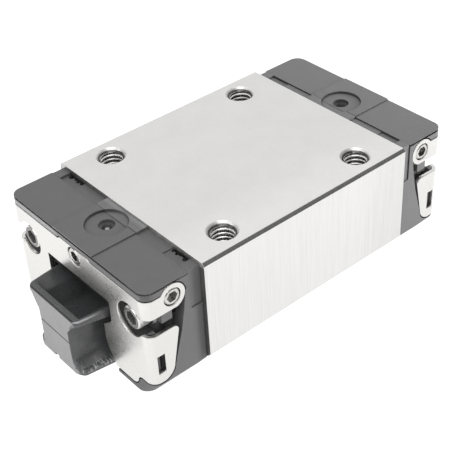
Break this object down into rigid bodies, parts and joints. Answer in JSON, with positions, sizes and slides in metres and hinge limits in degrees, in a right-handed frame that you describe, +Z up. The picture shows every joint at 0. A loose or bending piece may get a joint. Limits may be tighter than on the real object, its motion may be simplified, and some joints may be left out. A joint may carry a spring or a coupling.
{
  "type": "linear guide block",
  "caption": "Recirculating-ball guide block: ground steel runner with tapped top holes, plastic end caps with bent cover plates and seals, holding a black arbor that slides through it.",
  "frame": {"origin": "under the middle of the block, on the plane its end caps stand on", "axes": "+X along the travel, +Y across the block, +Z up out of the tapped top face"},
  "size_m": [0.068, 0.034, 0.0199],
  "materials": {
    "ground_steel": "fine ground",
    "ball_steel": "polished",
    "retainer_plastic": "moulded",
    "seal_rubber": "matt",
    "arbor_plastic": "moulded, satin",
    "cap_plastic": "moulded, fine matt",
    "stainless_sheet": "bright rolled",
    "screw_steel": "plated",
    "felt": "oil-soaked felt"
  },
  "bodies": {
    "block": {"runner_body": "ground_steel", "upper_balls_left": "ball_steel", "upper_balls_right": "ball_steel", "lower_balls_left": "ball_steel", "lower_balls_right": "ball_steel", "ball_retainer_left": "retainer_plastic", "ball_retainer_right": "retainer_plastic", "side_seal_left": "seal_rubber", "side_seal_right": "seal_rubber", "front_return_plate": "cap_plastic", "front_end_cap": "cap_plastic", "front_end_seal": "seal_rubber", "front_cover_plate": "stainless_sheet", "front_cap_screws": "screw_steel", "front_port_screw": "screw_steel", "front_side_port_screws": "screw_steel", "front_lube_felt": "felt", "rear_return_plate": "cap_plastic", "rear_end_cap": "cap_plastic", "rear_end_seal": "seal_rubber", "rear_cover_plate": "stainless_sheet", "rear_cap_screws": "screw_steel", "rear_port_screw": "screw_steel", "rear_side_port_screws": "screw_steel", "rear_lube_felt": "felt"},
    "arbor": {"mounting_arbor": "arbor_plastic"}
  },
  "joints": [
    {"name": "arbor_slide", "type": "slide", "parent": "block", "child": "arbor", "axis": [1, 0, 0], "range_m": [-0.063, 0.063]}
  ]
}
